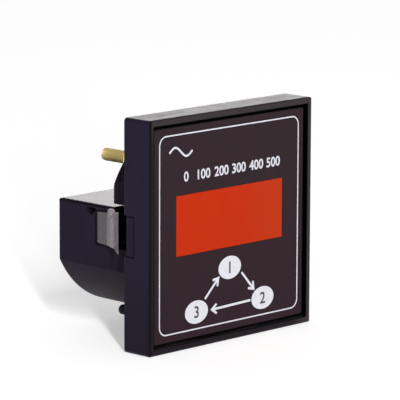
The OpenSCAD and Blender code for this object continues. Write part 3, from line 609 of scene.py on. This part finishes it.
lineLook = {"halfWidth": 30.8, "halfHeight": 30.65, "radius": 3.0, "width": 0.42}
frameLine = bmesh.new()
sides = [roundedSquare(*(lineLook[key] - inset for key in ("halfWidth", "halfHeight", "radius")))
         for inset in (0, lineLook["width"])]
addBand(frameLine, *sides, inkFront, filmFront)
addPiece("printed_frame_line", frameLine, whiteInk)

discLook = {"halfWidth": 5.0, "halfHeight": 3.6, "stepAngle": 5,
            "centres": [(0, -13.4), (14.8, -25.1), (-14.6, -25.2)]}
discs = bmesh.new()
for x, z in discLook["centres"]:
    turns = [math.radians(turn) for turn in range(0, 360, discLook["stepAngle"])]
    outline = [(x + discLook["halfWidth"] * math.cos(turn), z + discLook["halfHeight"] * math.sin(turn))
               for turn in turns]
    addSlab(discs, outline, inkFront, filmFront)
addPiece("printed_discs", discs, whiteInk)


def arrowOutline(start, tip, look):
    line = look["line"]
    along = (Vector(tip) - Vector(start)).normalized()
    side = Vector((-along.y, along.x))
    length = (Vector(tip) - Vector(start)).length
    lean = math.radians(look["barbAngle"])
    back = (length - look["barb"] * math.cos(lean), look["barb"] * math.sin(lean))
    inner = (back[0] - line * math.sin(lean), back[1] - line * math.cos(lean))
    join = length - (line / 2 + line / math.cos(lean)) / math.tan(lean)
    half = [(0, line / 2), (join, line / 2), inner, back, (length + line * look["point"], 0)]
    both = half + [(reach, -offset) for reach, offset in reversed(half[:-1])]
    return [tuple(Vector(start) + along * reach + side * offset) for reach, offset in both]


arrowLook = {
    "line": 0.75, "barb": 2.9, "barbAngle": 38, "point": 0.3,
    "runs": [((-10.9, -21.7), (-4.7, -15.7)), ((5.3, -15.7), (11.0, -22.0)), ((9.3, -25.1), (-8.3, -25.5))],
}
arrows = bmesh.new()
for start, tip in arrowLook["runs"]:
    addSlab(arrows, arrowOutline(start, tip, arrowLook), inkFront, filmFront)
addPiece("printed_arrows", arrows, whiteInk)


def addText(shape, words, centre, look, front, rear):
    curve = bpy.data.curves.new("numbers", "FONT")
    curve.body = words
    curve.size = 1
    curve.offset = look["weight"]
    curve.extrude = 0.5  # front and rear are set below
    curve.resolution_u = 6
    carrier = bpy.data.objects.new("numbers", curve)
    bpy.context.scene.collection.objects.link(carrier)
    bpy.context.view_layer.update()
    solid = carrier.evaluated_get(bpy.context.evaluated_depsgraph_get()).to_mesh()
    across = [vertex.co.x for vertex in solid.vertices]
    upward = [vertex.co.y for vertex in solid.vertices]
    grow = look["height"] / (max(upward) - min(upward))
    middle = ((max(across) + min(across)) / 2, (max(upward) + min(upward)) / 2)
    for vertex in solid.vertices:
        x = centre[0] + (vertex.co.x - middle[0]) * grow
        z = centre[1] + (vertex.co.y - middle[1]) * grow
        vertex.co = (x * mm, (front if vertex.co.z > 0 else rear) * mm, z * mm)
    shape.from_mesh(solid)
    carrier.to_mesh_clear()
    bpy.data.objects.remove(carrier)


numberLook = {"height": 3.7, "weight": 0.012}
discNumbers = bmesh.new()
for number, centre in enumerate(discLook["centres"], 1):
    addText(discNumbers, str(number), centre, numberLook, inkFront - inkThickness, inkFront)
addPiece("printed_disc_numbers", discNumbers, darkInk)

scaleLook = {"height": 3.1, "weight": 0.02, "numbers": ["0", "100", "200", "300", "400", "500"],
             "halfWidth": 19.2, "level": 17.3}
scale = bmesh.new()
gaps = len(scaleLook["numbers"]) - 1
for i, number in enumerate(scaleLook["numbers"]):
    x = scaleLook["halfWidth"] * (2 * i / gaps - 1)
    addText(scale, number, (x, scaleLook["level"]), scaleLook, inkFront, filmFront)
addPiece("printed_scale_numbers", scale, whiteInk)


def waveOutline(look):
    length = look["end"] - look["start"]
    half = look["line"] / 2
    upper, lower = [], []
    for i in range(look["steps"] + 1):
        turn = 2 * math.pi * i / look["steps"]
        x = look["start"] + length * i / look["steps"]
        z = look["level"] + look["height"] * math.sin(turn)
        slope = Vector((length, 2 * math.pi * look["height"] * math.cos(turn))).normalized()
        upper.append((x - slope.y * half, z + slope.x * half))
        lower.append((x + slope.y * half, z - slope.x * half))
    return upper + lower[::-1]


waveLook = {"start": -26.4, "end": -16.6, "level": 25.1, "height": 1.5, "line": 0.62, "steps": 48}
waveMark = bmesh.new()
addSlab(waveMark, waveOutline(waveLook), inkFront, filmFront)
addPiece("printed_wave_mark", waveMark, whiteInk)
print("printing done")


def depthOf(node):
    low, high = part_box(node)
    return low.y / mm, high.y / mm


def axisOf(node):
    low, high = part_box(node)
    return (low.x + high.x) / 2 / mm, (low.z + high.z) / 2 / mm


hexagon = {"flats": 7.0, "face": 0.95, "chamfer": 0.25, "lean": 30, "headBore": 0.4}


def addHexagon(shape, at, front, rear, bore):
    apothem = hexagon["flats"] / 2
    face = apothem * hexagon["face"]  # the end faces are round, the corners lean back from them
    chamfer = hexagon["chamfer"]
    slope = math.tan(math.radians(hexagon["lean"]))

    def profile(turn):
        fromFlat = (turn + 30) % 60 - 30  # degrees from the middle of a flat
        radius = apothem / math.cos(math.radians(fromFlat))
        drop = (radius - face) * slope
        return [(bore + chamfer, front), (face, front), (radius, front + drop), (radius, rear - drop),
                (face, rear), (bore + chamfer, rear), (bore, rear - chamfer), (bore, front + chamfer)]

    revolve(shape, at, profile)


washer = {"radius": 4.5, "edge": 0.12}


def addWasher(shape, at, front, rear, bore):
    radius, edge = washer["radius"], washer["edge"]
    loop = [(bore, front + edge), (bore + edge, front), (radius - edge, front), (radius, front + edge),
            (radius, rear - edge), (radius - edge, rear), (bore + edge, rear), (bore, rear - edge)]
    revolve(shape, at, lambda turn: loop)


springWasher = {"radius": 3.5, "section": 0.72, "gap": 9, "columns": 70}


def addSpringWasher(shape, at, front, rear, bore):
    radius = springWasher["radius"]
    section = (rear - front) * springWasher["section"]
    rise = rear - front - section
    sweep = 360 - springWasher["gap"]

    def profile(turn):
        low = front + rise * turn / sweep
        return [(bore, low), (radius, low), (radius, low + section), (bore, low + section)]

    revolve(shape, at, profile, springWasher["columns"], sweep)


thread = {  # flats as shares of the pitch; dark painted shade lies in the root and on the flank before it
    "pitch": 0.7, "radius": 2.0, "root": 1.57, "rootFlat": 0.25, "crestFlat": 0.125, "shadedRows": (0, 3),
    "tipRound": 0.9, "columns": 48, "overlap": 0.1, "clearance": 0.02, "sharpAngle": 25,
}


def addThread(shape, at, start, end):
    pitch, columns = thread["pitch"], thread["columns"]
    crest, root, tip = thread["radius"], thread["root"], thread["tipRound"]
    flank = (1 - thread["rootFlat"] - thread["crestFlat"]) / 2
    rows = [(0, root), (thread["rootFlat"], root), (thread["rootFlat"] + flank, crest), (1 - flank, crest)]
    perTurn = len(rows)
    lead = 2  # turns before the start, pressed flat onto it
    turns = int((end - start) / pitch) + lead + 1

    def point(row, column):
        share, radius = rows[row % perTurn]
        depth = start + pitch * (row // perTurn - lead + share + column / columns)
        depth = min(max(depth, start), end)
        radius = min(radius, root + (depth - start))
        over = max(depth - (end - tip), 0)
        radius = min(radius, crest - tip + math.sqrt(max(tip * tip - over * over, 0)))
        angle = 2 * math.pi * column / columns
        return (at[0] + radius * math.cos(angle), depth, at[1] + radius * math.sin(angle))

    grid = [ring(shape, [point(row, column) for column in range(columns)])
            for row in range((turns + 1) * perTurn + 1)]
    for row in range(turns * perTurn):
        for column in range(columns):
            finished, ahead = divmod(column + 1, columns)
            onward = row + finished * perTurn  # after a whole turn the helix goes on in the next one's rows
            corners = (grid[row][column], grid[row + 1][column], grid[onward + 1][ahead], grid[onward][ahead])
            side = shape.faces.new(corners)
            side.material_index = int(row % perTurn in thread["shadedRows"])
    bmesh.ops.remove_doubles(shape, verts=shape.verts, dist=weld)
    rims = [edge for edge in shape.edges if len(edge.link_faces) == 1]
    bmesh.ops.holes_fill(shape, edges=rims, sides=0)


studAt = {side: axisOf("terminal_stud_" + side) for side in ("left", "right")}
headRear = depthOf("solder_tags")[0]
for side, at in studAt.items():
    node = "terminal_stud_" + side
    start, end = depthOf(node)
    stud = bmesh.new()
    addThread(stud, at, headRear - thread["overlap"], end)
    addHexagon(stud, at, start, headRear, hexagon["headBore"])
    addPiece("threaded_stud_" + side, stud, brass, [node], thread["sharpAngle"], threadShadeBrass)

fittings = [
    ("plain_washers", addWasher, "terminal_washers", brass, "brass"),
    ("chamfered_locknuts", addHexagon, "terminal_locknuts", brass, "brass"),
    ("split_spring_washers", addSpringWasher, "spring_washers", zinc, "plated_steel"),
    ("chamfered_nuts", addHexagon, "terminal_nuts", brass, "brass"),
]
for name, build, node, finish, slot in fittings:
    shape = bmesh.new()
    for at in studAt.values():
        build(shape, at, *depthOf(node), thread["radius"] + thread["clearance"])
    addPiece(name, shape, finish, [node])
print("terminals done")


def rays(wiring, kind):
    return wiring.node("ShaderNodeLightPath", output=f"Is {kind} Ray")


def shownRays(wiring):  # 1 for rays that show the background, straight, mirrored or through glass
    return rays(wiring, "Camera").larger(rays(wiring, "Transmission")).larger(rays(wiring, "Glossy"))


def makeFloor(look):  # white paper that lights itself a little, only where it is seen
    constants = {"Roughness": look["roughness"], "Specular IOR Level": 0.0, "Emission Strength": 1.0}
    finish = Finish("paper", constants)
    grain = finish.noise(look["grainSize"])
    finish.feed("Base Color", finish.mix(grain * look["grainLevel"], look["colour"], look["shade"]))
    finish.feed("Emission Color", finish.mix(shownRays(finish), (0, 0, 0), [look["lift"]] * 3))
    half = look["size"] / 2
    corners = [(x * half, y * half, cadBox[0].z) for x, y in ((-1, -1), (1, -1), (1, 1), (-1, 1))]
    mesh = bpy.data.meshes.new("floor")
    mesh.from_pydata(corners, [], [(0, 1, 2, 3)])
    mesh.materials.append(finish.material)
    floor = bpy.data.objects.new("floor", mesh)
    bpy.context.scene.collection.objects.link(floor)


def heading(azimuth, elevation):  # from the object, 0 is straight in front, positive to the right
    turn, rise = math.radians(azimuth), math.radians(elevation)
    return Vector((math.sin(turn) * math.cos(rise), -math.cos(turn) * math.cos(rise), math.sin(rise)))


def addLamp(name, look):
    light = bpy.data.lights.new(name, "AREA")
    light.shape = "RECTANGLE"
    light.size, light.size_y = look["size"]
    light.color = look["colour"]
    # white paper that faces the lamp shows the level
    light.energy = look["level"] * (math.pi * look["distance"]) ** 2
    lamp = bpy.data.objects.new(name, light)
    lamp.location = heading(look["azimuth"], look["elevation"]) * look["distance"]
    lamp.rotation_euler = (-lamp.location).to_track_quat("-Z", "Y").to_euler()
    bpy.context.scene.collection.objects.link(lamp)


def makeWorld(look):  # white to the camera, dim overhead in reflections, dim as a light
    world = bpy.data.worlds.new("studio")
    wiring = Wiring(world)
    toward = wiring.node("ShaderNodeTexCoord", output="Generated")
    horizon = wiring.part(toward, "Z").between(*look["fade"])
    room = look["room"] + (1 - look["room"]) * horizon.larger(rays(wiring, "Camera"))
    strength = look["diffuse"] + shownRays(wiring) * (room - look["diffuse"])
    background = wiring.node("ShaderNodeBackground", None, {"Color": (1, 1, 1), "Strength": strength})
    wiring.node("ShaderNodeOutputWorld", None, {"Surface": background}, None)
    bpy.context.scene.world = world


def makeCamera(look):
    yaw, pitch, roll = (math.radians(look[key]) for key in ("yaw", "pitch", "roll"))
    ahead = Vector((math.sin(yaw) * math.cos(pitch), math.cos(yaw) * math.cos(pitch), -math.sin(pitch)))
    level = Vector((math.cos(yaw), -math.sin(yaw), 0))
    above = level.cross(ahead)
    right = level * math.cos(roll) + above * math.sin(roll)
    up = above * math.cos(roll) - level * math.sin(roll)
    data = bpy.data.cameras.new("camera")
    data.sensor_width = look["sensor"]
    data.lens = look["lens"]
    data.clip_end = look["reach"]
    camera = bpy.data.objects.new("camera", data)
    camera.location = (-ahead * look["distance"] - right * look["across"] - up * look["along"]) * mm
    camera.rotation_euler = Matrix((right, up, -ahead)).transposed().to_euler()
    bpy.context.scene.collection.objects.link(camera)
    bpy.context.scene.camera = camera


floorLook = {  # sizes in metres, but the grain in millimetres
    "size": 8.0, "colour": (0.90, 0.90, 0.90), "shade": (0.86, 0.86, 0.86), "grainSize": 2.0,
    "grainLevel": 0.02, "lift": 0.40, "roughness": 0.9,
}
roomLook = {"diffuse": 0.29, "room": 0.3, "fade": (0.5, 0.25)}
lampLooks = {  # sizes and distances in metres
    "key": {"azimuth": -35.5, "elevation": 24, "distance": 6, "size": (0.3, 4.0), "level": 1.02,
            "colour": (1, 1, 1)},
    "back": {"azimuth": 134, "elevation": 13, "distance": 6, "size": (5, 1.7), "level": 0.24,
             "colour": (1, 0.97, 0.965)},
}
cameraLook = {  # angles in degrees, lengths in millimetres, the reach in metres
    "yaw": 45.785, "pitch": 10.330, "roll": 0.218, "lens": 287.0, "sensor": 36, "reach": 50,
    "distance": 984.6, "across": 2.322, "along": -6.29,
}
makeFloor(floorLook)
makeWorld(roomLook)
for name, look in lampLooks.items():
    addLamp(name, look)
makeCamera(cameraLook)
bpy.context.scene.view_settings.view_transform = "Standard"
print("stage done")
